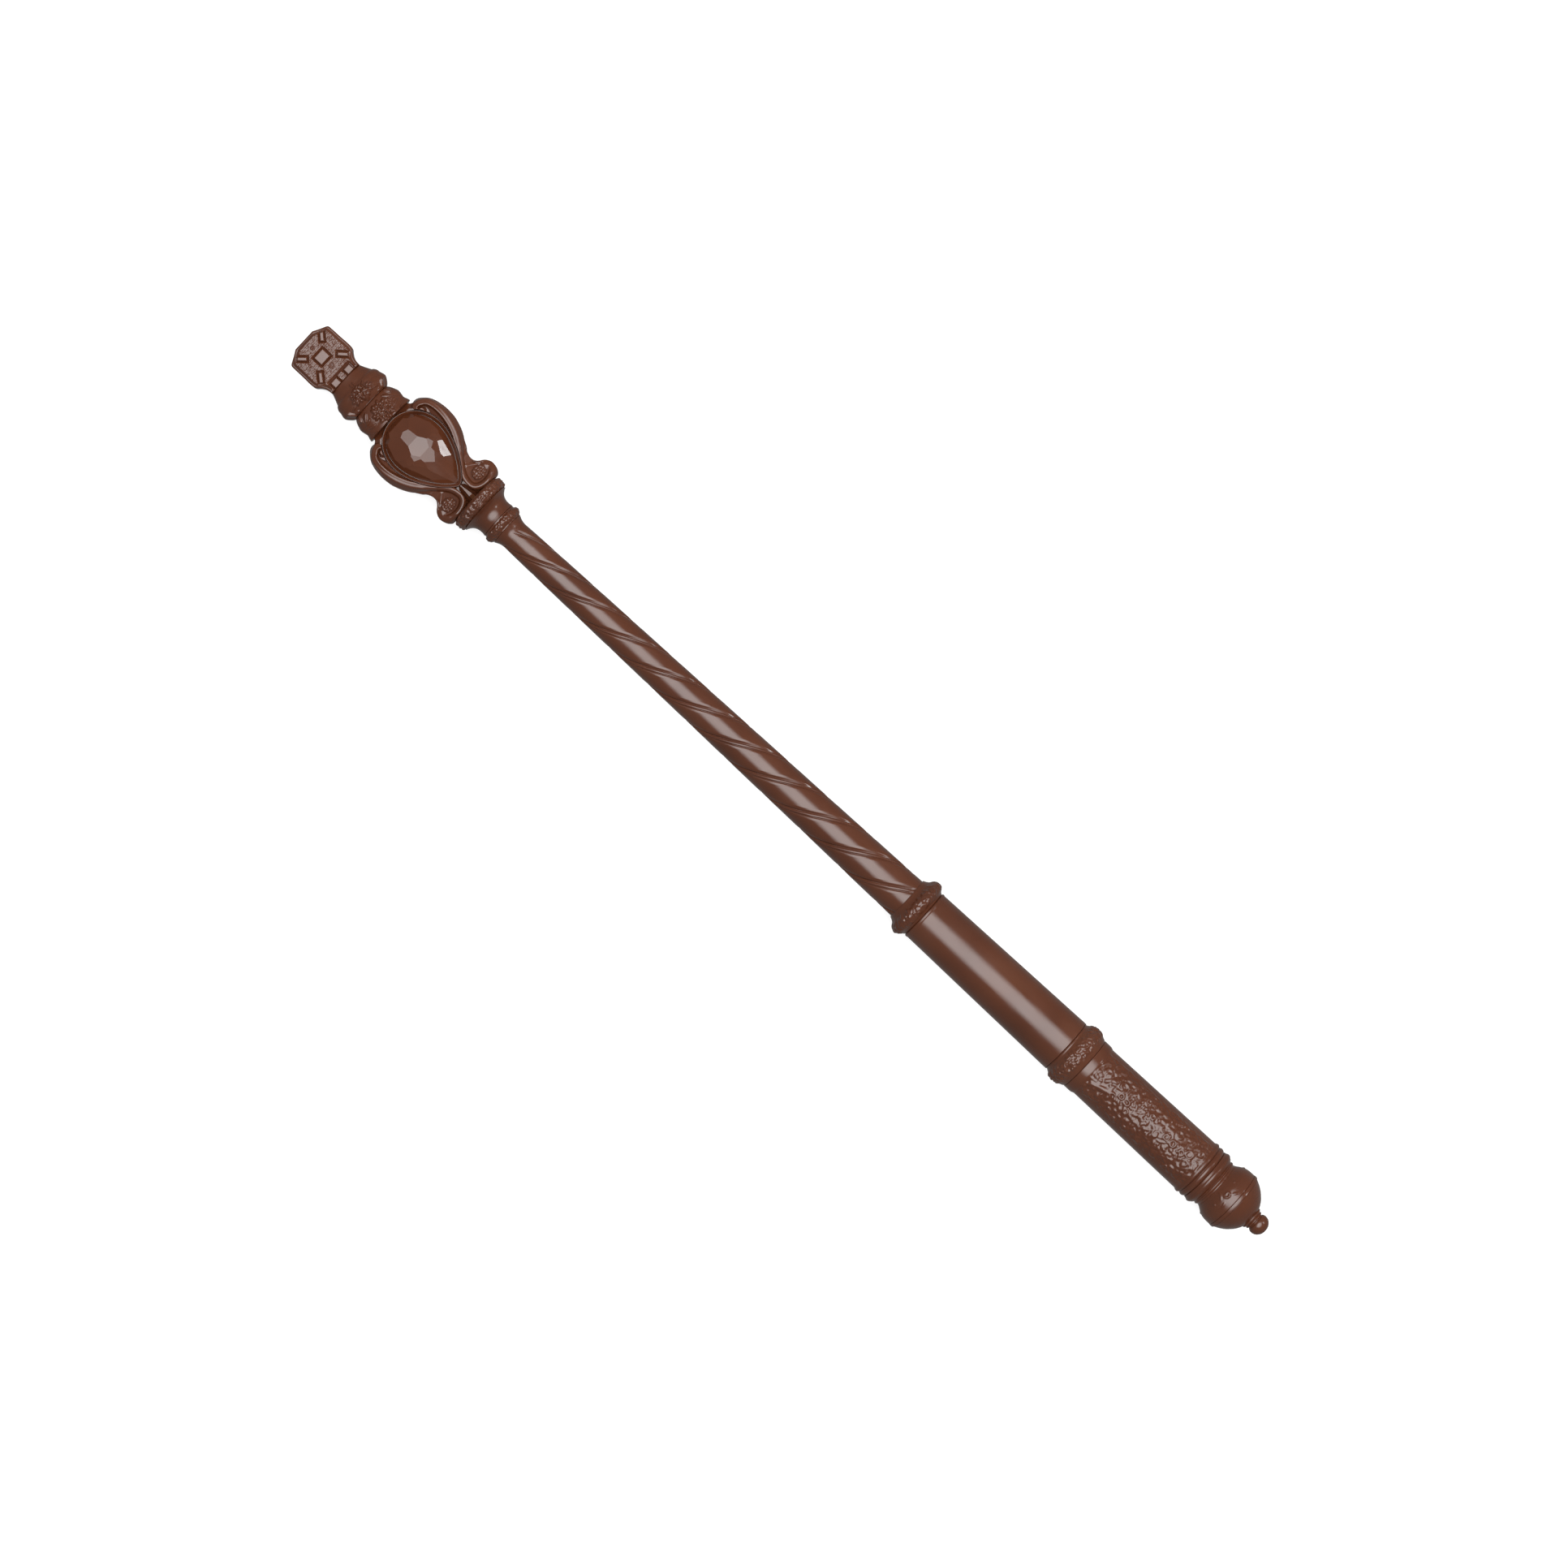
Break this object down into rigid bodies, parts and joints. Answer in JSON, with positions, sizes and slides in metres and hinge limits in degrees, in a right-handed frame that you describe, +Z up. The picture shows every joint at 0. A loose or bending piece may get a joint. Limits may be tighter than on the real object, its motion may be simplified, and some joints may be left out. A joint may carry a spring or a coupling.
{
  "type": "magic wand",
  "caption": "Ornate magic wand: ball pommel, embossed grip, spiral shaft and a lyre-shaped head that holds a faceted pear stone under an octagonal tip.",
  "frame": {"origin": "centre of the box that holds the wand, on the plane it lies on", "axes": "+X along the wand towards its tip, +Z up through the front face of the head, +Y across the head"},
  "size_m": [0.35, 0.0254, 0.0188],
  "materials": {
    "resin": "glossy chocolate-brown casting",
    "gem": "polished brown facets",
    "steel": "bright machined steel",
    "brass": "machined brass",
    "birch": "plain turned birch"
  },
  "bodies": {
    "wand": {"tie_rod": "steel", "grip_end_ring": "resin", "handle_core": "birch", "embossed_grip": "resin", "grip_collar": "resin", "plain_handle": "resin", "shaft_ferrule": "resin", "spiral_shaft": "resin", "neck_ring": "resin", "neck_spool": "resin", "head_collar": "resin", "head_socket": "brass", "head_pin": "steel", "head_plate": "resin", "scroll_arm_left_front": "resin", "scroll_arm_left_back": "resin", "scroll_arm_right_front": "resin", "scroll_arm_right_back": "resin", "volute_rosette_left_front": "resin", "volute_rosette_left_back": "resin", "volute_rosette_right_front": "resin", "volute_rosette_right_back": "resin", "gem_bezel_front": "resin", "gem_bezel_back": "resin", "gem_front": "gem", "gem_back": "gem", "leaf_collar": "resin", "leaf_capital": "resin", "tip_dowel": "steel", "plaque_core": "resin", "plaque_panel_front": "resin", "plaque_panel_back": "resin"},
    "ring_slider": {"pommel_ring": "resin"},
    "pommel": {"tail_button": "resin", "pommel_rear_half": "resin", "pommel_band": "resin", "pommel_front_half": "resin", "pommel_insert": "brass"}
  },
  "joints": [
    {"name": "pommel_advance", "type": "slide", "parent": "wand", "child": "ring_slider", "axis": [-1, 0, 0], "range_m": [0, 0.007]},
    {"name": "pommel_unscrew", "type": "hinge", "parent": "ring_slider", "child": "pommel", "pos_m": [-0.163, 0, 0.0094], "axis": [-1, 0, 0], "range_deg": [0, 3600]}
  ],
  "couplings": [
    {"joint": "pommel_advance", "follows": "pommel_unscrew", "m_per_rad": 0.00011141}
  ]
}
